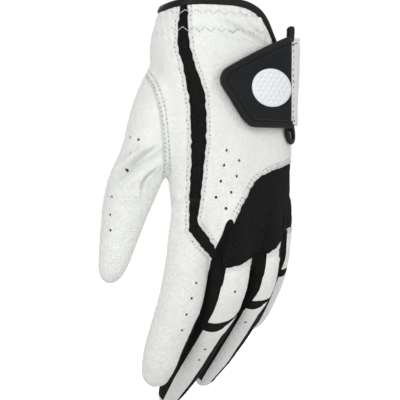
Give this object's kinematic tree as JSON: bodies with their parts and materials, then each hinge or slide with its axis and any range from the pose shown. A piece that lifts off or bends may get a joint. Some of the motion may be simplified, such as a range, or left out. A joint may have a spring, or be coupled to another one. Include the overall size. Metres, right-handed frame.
{
  "type": "golf glove",
  "caption": "Left-hand golf glove in white leather with black stretch-knit inserts, bound cuff and a closing tab with hook and loop.",
  "frame": {"origin": "centre of the wrist opening", "axes": "+Z out of the wrist opening, fingers towards -Z, back of the hand towards -Y, thumb towards -X"},
  "size_m": [0.1108, 0.086, 0.2189],
  "materials": {
    "white_leather": "fine-grained glove leather, satin",
    "black_knit": "matt stretch knit",
    "black_binding": "folded binding tape, slight sheen",
    "tab_skin": "smooth synthetic leather",
    "hook_and_loop": "hook and loop pile",
    "rubber_badge": "moulded soft rubber, satin",
    "elastic": "woven elastic"
  },
  "bodies": {
    "hand": {"back_panel": "white_leather", "cuff_binding": "black_binding", "index_base_little_side": "black_knit", "index_bend_sleeve": "white_leather", "index_stripe": "black_knit", "knuckle_panel": "black_knit", "little_base_back": "white_leather", "little_base_thumb_side": "black_knit", "little_bend_band": "black_knit", "little_bend_sleeve": "white_leather", "loop_pad": "hook_and_loop", "middle_base_back": "white_leather", "middle_base_little_side": "black_knit", "middle_base_thumb_side": "black_knit", "middle_bend_band": "black_knit", "middle_bend_sleeve": "white_leather", "palm_panel": "white_leather", "ring_base_back": "white_leather", "ring_base_little_side": "black_knit", "ring_base_thumb_side": "black_knit", "ring_bend_band": "black_knit", "ring_bend_sleeve": "white_leather", "slit_binding": "black_binding", "tab_base": "black_binding", "thumb_base": "white_leather", "thumb_bend_sleeve": "white_leather", "wrist_elastic_lower": "elastic", "wrist_elastic_upper": "elastic"},
    "tab": {"tab_strap": "tab_skin", "tab_binding": "black_binding", "hook_pad": "hook_and_loop", "tab_badge": "rubber_badge"},
    "index_end": {"index_tip": "white_leather", "index_tip_little_side": "black_knit"},
    "middle_end": {"middle_tip": "white_leather", "middle_tip_back": "white_leather", "middle_tip_little_side": "black_knit", "middle_tip_thumb_side": "black_knit"},
    "ring_end": {"ring_tip": "white_leather", "ring_tip_back": "white_leather", "ring_tip_little_side": "black_knit", "ring_tip_thumb_side": "black_knit"},
    "little_end": {"little_tip": "white_leather", "little_tip_back": "white_leather", "little_tip_thumb_side": "black_knit"},
    "thumb_end": {"thumb_tip": "white_leather"}
  },
  "joints": [
    {"name": "index_bend", "type": "hinge", "parent": "hand", "child": "index_end", "pos_m": [-0.02538, 0.01031, -0.158], "axis": [0.9986, -0.0345, -0.0411], "range_deg": [-8, 45], "stiffness_Nm_per_rad": 0.05, "deforming": ["index_bend_sleeve"]},
    {"name": "middle_bend", "type": "hinge", "parent": "hand", "child": "middle_end", "pos_m": [-0.00281, 0.00738, -0.1635], "axis": [1, -0.0044, 0.0058], "range_deg": [-8, 45], "stiffness_Nm_per_rad": 0.05, "deforming": ["middle_bend_band", "middle_bend_sleeve"]},
    {"name": "ring_bend", "type": "hinge", "parent": "hand", "child": "ring_end", "pos_m": [0.01928, 0.00492, -0.154], "axis": [0.9944, 0.0804, 0.0692], "range_deg": [-8, 45], "stiffness_Nm_per_rad": 0.05, "deforming": ["ring_bend_band", "ring_bend_sleeve"]},
    {"name": "little_bend", "type": "hinge", "parent": "hand", "child": "little_end", "pos_m": [0.03577, 0.01106, -0.1395], "axis": [0.9739, 0.1736, 0.1464], "range_deg": [-8, 45], "stiffness_Nm_per_rad": 0.05, "deforming": ["little_bend_band", "little_bend_sleeve"]},
    {"name": "thumb_bend", "type": "hinge", "parent": "hand", "child": "thumb_end", "pos_m": [-0.05025, 0.01919, -0.1], "axis": [0.596, -0.7375, -0.3176], "range_deg": [-8, 30], "stiffness_Nm_per_rad": 0.05, "deforming": ["thumb_bend_sleeve"]},
    {"name": "tab_open", "type": "hinge", "parent": "hand", "child": "tab", "pos_m": [0.03105, -0.01754, -0.04125], "axis": [-0.0689, -0.0984, 0.9928], "range_deg": [0, 115]}
  ]
}
